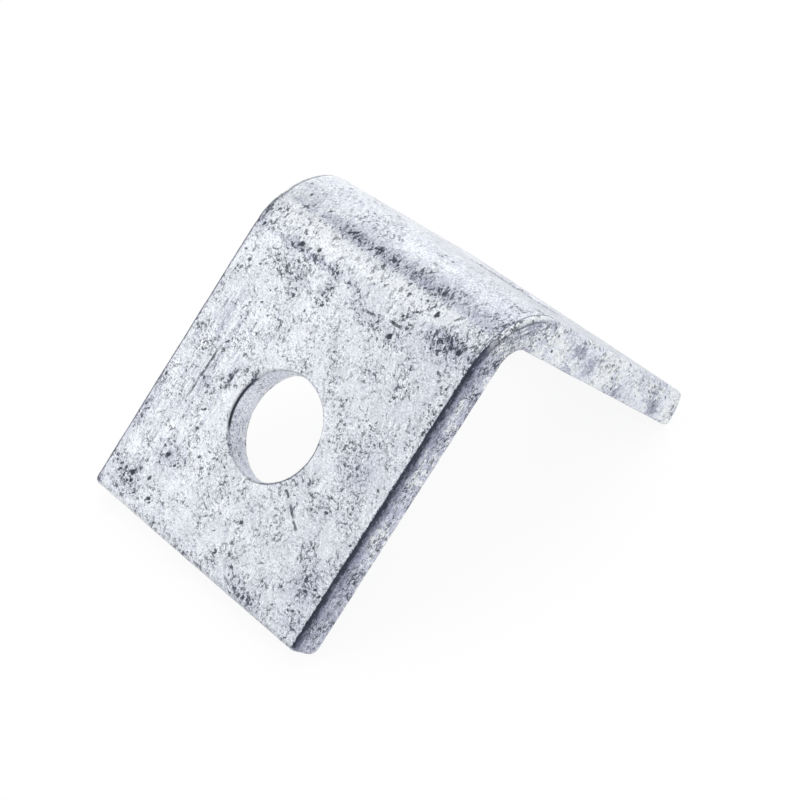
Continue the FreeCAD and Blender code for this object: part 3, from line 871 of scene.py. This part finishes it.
def zinc():
    """Hot-dip zinc: pale and mottled, with dark spots and strokes and dark pits; sheared edges darkened
    partly by their burr and partly by painted shade, painted highlight and shade on the fold, painted
    shadow lines in the hole rims and paler painted hole walls.
    """
    material = bpy.data.materials.new("hot_dip_zinc")
    material.use_nodes = True
    nodes = Nodes(material.node_tree)
    shader = material.node_tree.nodes["Principled BSDF"]
    soiled_and_shaded = nodes.attribute("soil_and_shade", "Fac")
    hollow = nodes.attribute("hollow", "Fac")
    place = strip_places(nodes)
    tone = zinc_noises(nodes, place.strip)
    marks = dark_marks(nodes, place, tone, soiled_and_shaded)
    fold = fold_marks_and_shading(nodes, place, tone)
    bright_side, dark_side = side_sheen(nodes, place, tone)
    edge_shade, edge_shadow_line = edge_burr_and_shade(nodes, place, tone)
    rim_shadow_line, rim_edge_shade = rim_shading(nodes, place, tone)
    drawn_on = nodes.times(
        nodes.band(place.across, *DRAWN_ACROSS), nodes.band(place.along, *DRAWN_ALONG), place.outer,
    )
    streaked = nodes.times(nodes.ramp(tone.streak, 0.48, 0.62), nodes.ramp(tone.cluster, 0.4, 0.58))
    dark_dash = nodes.ramp(tone.dash, 0.53, 0.65)
    pale_dash = nodes.ramp(tone.dash, 0.48, 0.38)
    long_pale = nodes.math("MAXIMUM", nodes.math("SUBTRACT", place.long_side, dark_side), 0.0)

    # Each layer of colour: where it lies, how much it covers and its shade, over the layers before it.
    layers = (
        (nodes.ramp(tone.cloud, 0.48, 0.64), 0.3, ZINC_GREY),
        (nodes.ramp(tone.cloud, 0.5, 0.36), 0.5, ZINC_WHITE),
        (nodes.ramp(tone.swirl, 0.5, 0.62), 0.22, ZINC_GREY),
        (nodes.ramp(tone.swirl, 0.46, 0.32), 0.4, ZINC_WHITE),
        # painted shade: the colour grows greyer across the strip towards its near side (across above 0),
        # standing in for light that falls off across each face
        (nodes.ramp(place.across, -18.0, 18.0), 0.52, ZINC_GREY),
        (nodes.times(place.on_side, place.on_short), 0.7, ZINC_LILAC),
        (place.long_side, 0.8, ZINC_SKY),
        (dark_side, 0.95, ZINC_SLATE),
        (bright_side, 0.95, ZINC_WHITE),
        (streaked, 0.35, ZINC_GREY),
        (nodes.ramp(tone.streak, 0.45, 0.32), 0.35, ZINC_WHITE),
        # a greyer, mottled band over the fold's top
        (fold.grey_top, 0.4, ZINC_GREY),
        # painted shade in the fold's crease
        (fold.crease_shade, 0.4, ZINC_SLATE),
        # painted highlight on the ledge where the fold begins
        (fold.fold_highlight, 0.5, ZINC_WHITE),
        # painted light: the hole walls are painted paler and bluer than the coat round them, standing in
        # for light that reaches them
        (place.in_hole, 0.9, ZINC_SKY),
        (nodes.times(place.in_hole, nodes.ramp(tone.ring, 0.5, 0.62)), 0.4, ZINC_LILAC),
        (nodes.times(place.in_hole, nodes.ramp(tone.ring, 0.5, 0.38)), 0.6, ZINC_WHITE),
        (nodes.times(place.short_side, dark_dash), 0.5, ZINC_BLUE),
        (nodes.times(place.short_side, nodes.ramp(tone.dash, 0.47, 0.35)), 0.6, ZINC_WHITE),
        (nodes.times(place.side_fold, dark_dash), 0.65, ZINC_BLUE),
        (nodes.times(place.side_fold, pale_dash), 0.7, ZINC_WHITE),
        (nodes.times(place.long_side, dark_dash), 0.45, ZINC_SLATE),
        (nodes.times(long_pale, nodes.ramp(tone.dash, 0.48, 0.36)), 0.7, ZINC_WHITE),
        (nodes.times(drawn_on, nodes.ramp(tone.drawn, 0.5, 0.6)), 0.5, ZINC_SLATE),
        (nodes.times(drawn_on, nodes.ramp(tone.drawn, 0.46, 0.38)), 0.5, ZINC_WHITE),
        # more painted light on the hole walls: their pale grain outweighs the dark
        (nodes.times(place.in_hole, nodes.ramp(tone.grain, 0.52, 0.62)), 0.7, ZINC_SLATE),
        (nodes.times(place.in_hole, nodes.ramp(tone.grain, 0.49, 0.4)), 0.95, ZINC_WHITE),
        # soil, and on the fold the painted shade of its dark band
        (soiled_and_shaded, 0.75, ZINC_SLATE),
        (fold.lip, 0.8, ZINC_WHITE),
        (nodes.ramp(tone.smear, 0.5, 0.64), 0.2, ZINC_GREY),
        (nodes.ramp(tone.smear, 0.5, 0.36), 0.25, ZINC_WHITE),
        (nodes.ramp(tone.grain, 0.5, 0.66), 0.5, ZINC_GREY),
        (nodes.ramp(tone.grain, 0.5, 0.34), 0.5, ZINC_WHITE),
        (marks.fine, 0.4, ZINC_BLUE),
        (marks.dark, 0.9, ZINC_DARK),
        (marks.spot, 0.85, ZINC_DARK),
        (marks.crust, 0.9, ZINC_DARK),
        # painted shade along the short leg's sheared edges, partly the edges' own dark burr
        (edge_shade, 0.85, ZINC_BLUE),
        (nodes.times(edge_shade, pale_dash), 0.6, ZINC_LILAC),
        (nodes.times(edge_shade, nodes.ramp(tone.dash, 0.5, 0.6)), 0.7, ZINC_DARK),
        (nodes.times(edge_shade, nodes.ramp(tone.grain, 0.5, 0.6)), 0.8, ZINC_DARK),
        (nodes.times(edge_shade, nodes.ramp(tone.grain, 0.48, 0.38)), 0.4, ZINC_LILAC),
        # the dark line at the very edge: painted shadow and dark reflection of the rounded edge, with the
        # burr
        (edge_shadow_line, 0.95, ZINC_DARK),
        (fold.lip_line, 0.6, ZINC_DARK),
        # painted shadow in the rims of the holes, and painted shade on the rim across from it
        (rim_shadow_line, 0.85, ZINC_DARK),
        (rim_edge_shade, 0.7, ZINC_DARK),
        (scratches(nodes, place, tone), 0.8, ZINC_DARK),
        (nodes.ramp(hollow, 0.15, 0.55), 0.95, ZINC_DARK),
    )
    colour = ZINC_PALE
    for share, strength, shade in layers:
        colour = nodes.mix(nodes.times(share, strength), colour, shade)

    rough = nodes.ramp(tone.mottle, 0.3, 0.7, ZINC_ROUGH, ZINC_SMOOTH)
    rough = nodes.weighted((rough, 1.0), (bright_side, -BRIGHT_SIDE_SMOOTHER))
    height = nodes.weighted((tone.mottle, 1.0), (marks.dark, -0.35), (tone.fleck, 0.5))
    inputs = {"Strength": BUMP_STRENGTH, "Distance": BUMP_DEPTH * MM, "Height": height}
    bump = nodes.add("ShaderNodeBump", inputs)
    nodes.set(shader.inputs["Base Color"], colour)
    nodes.set(shader.inputs["Roughness"], rough)
    nodes.set(shader.inputs["Normal"], bump.outputs["Normal"])
    shader.inputs["Metallic"].default_value = ZINC_METALLIC
    return material


# The camera stands where the photograph was taken from.
CAMERA_PLACE = (148.44 * MM, -141.59 * MM, 187.54 * MM)
CAMERA_AZIMUTH = 46.29
CAMERA_ELEVATION = 40.89
CAMERA_ROLL = 1.84
CAMERA_LENS = 93.13
CAMERA_SENSOR = 36.0
CAMERA_NEAR = 0.01


def add_camera():
    camera = bpy.data.objects.new("camera", bpy.data.cameras.new("camera"))
    camera.data.lens = CAMERA_LENS
    camera.data.sensor_width = CAMERA_SENSOR
    camera.data.clip_start = CAMERA_NEAR
    camera.location = CAMERA_PLACE
    tilt = math.radians(90 - CAMERA_ELEVATION)
    turn = Matrix.Rotation(math.radians(CAMERA_AZIMUTH), 4, "Z")
    turn = turn @ Matrix.Rotation(tilt, 4, "X") @ Matrix.Rotation(math.radians(CAMERA_ROLL), 4, "Z")
    camera.rotation_euler = turn.to_euler()
    bpy.context.scene.collection.objects.link(camera)
    bpy.context.scene.camera = camera


FLOOR_SIZE = 6.0
FLOOR_PAINT = (0.9, 0.9, 0.9, 1)
FLOOR_ROUGH = 0.9
FLOOR_WHITE = 0.9


def add_floor():
    """A white floor that stays white where it is seen and keeps a faint shadow."""
    bpy.ops.mesh.primitive_plane_add(size=FLOOR_SIZE)
    floor = bpy.context.object
    floor.name = "floor"
    material = bpy.data.materials.new("floor_white")
    material.use_nodes = True
    nodes = Nodes(material.node_tree)
    paint = material.node_tree.nodes["Principled BSDF"]
    paint.inputs["Base Color"].default_value = FLOOR_PAINT
    paint.inputs["Roughness"].default_value = FLOOR_ROUGH
    ray = nodes.add("ShaderNodeLightPath").outputs
    seen = nodes.math("MAXIMUM", ray["Is Camera Ray"], ray["Is Glossy Ray"])
    seen = nodes.math("MAXIMUM", seen, ray["Is Transmission Ray"])
    share = nodes.math("MULTIPLY", seen, FLOOR_WHITE)
    white = nodes.add("ShaderNodeEmission").outputs[0]
    mixed = nodes.add("ShaderNodeMixShader", {0: share, 1: paint.outputs[0], 2: white})
    nodes.set(material.node_tree.nodes["Material Output"].inputs["Surface"], mixed.outputs[0])
    floor.data.materials.append(material)


# Soft lamps: direction from the bracket as azimuth and elevation, distance, width and power.
LAMPS = (
    ("front_left", 230.0, 32.0, 1.2, 1.2, 5.6),
    ("near_side", 0.0, 25.0, 1.2, 1.2, 4.3),
    ("above", 0.0, 88.0, 1.2, 1.0, 4.6),
    ("behind", 110.0, 32.0, 1.3, 1.2, 7.8),
)
WORLD_STRENGTH = 0.52


def add_lights():
    world = bpy.data.worlds.new("studio")
    world.use_nodes = True
    nodes = Nodes(world.node_tree)
    sky = world.node_tree.nodes["Background"]
    sky.inputs["Color"].default_value = (1, 1, 1, 1)
    seen = nodes.add("ShaderNodeLightPath").outputs["Is Camera Ray"]
    nodes.set(sky.inputs["Strength"], nodes.math("MAXIMUM", seen, WORLD_STRENGTH))
    bpy.context.scene.world = world
    for name, azimuth, elevation, distance, width, power in LAMPS:
        lamp = bpy.data.objects.new(name, bpy.data.lights.new(name, "AREA"))
        lamp.data.energy = power
        lamp.data.size = width
        flat = math.cos(math.radians(elevation))
        away = Vector((
            flat * math.cos(math.radians(azimuth)),
            flat * math.sin(math.radians(azimuth)),
            math.sin(math.radians(elevation)),
        ))
        lamp.location = away * distance
        lamp.rotation_euler = away.to_track_quat("Z", "Y").to_euler()
        bpy.context.scene.collection.objects.link(lamp)


bracket = bracket_piece()
bracket.data.materials.append(zinc())
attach(bracket, "root")
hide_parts(NODE)

add_floor()
add_lights()
add_camera()
bpy.context.scene.view_settings.view_transform = "Standard"
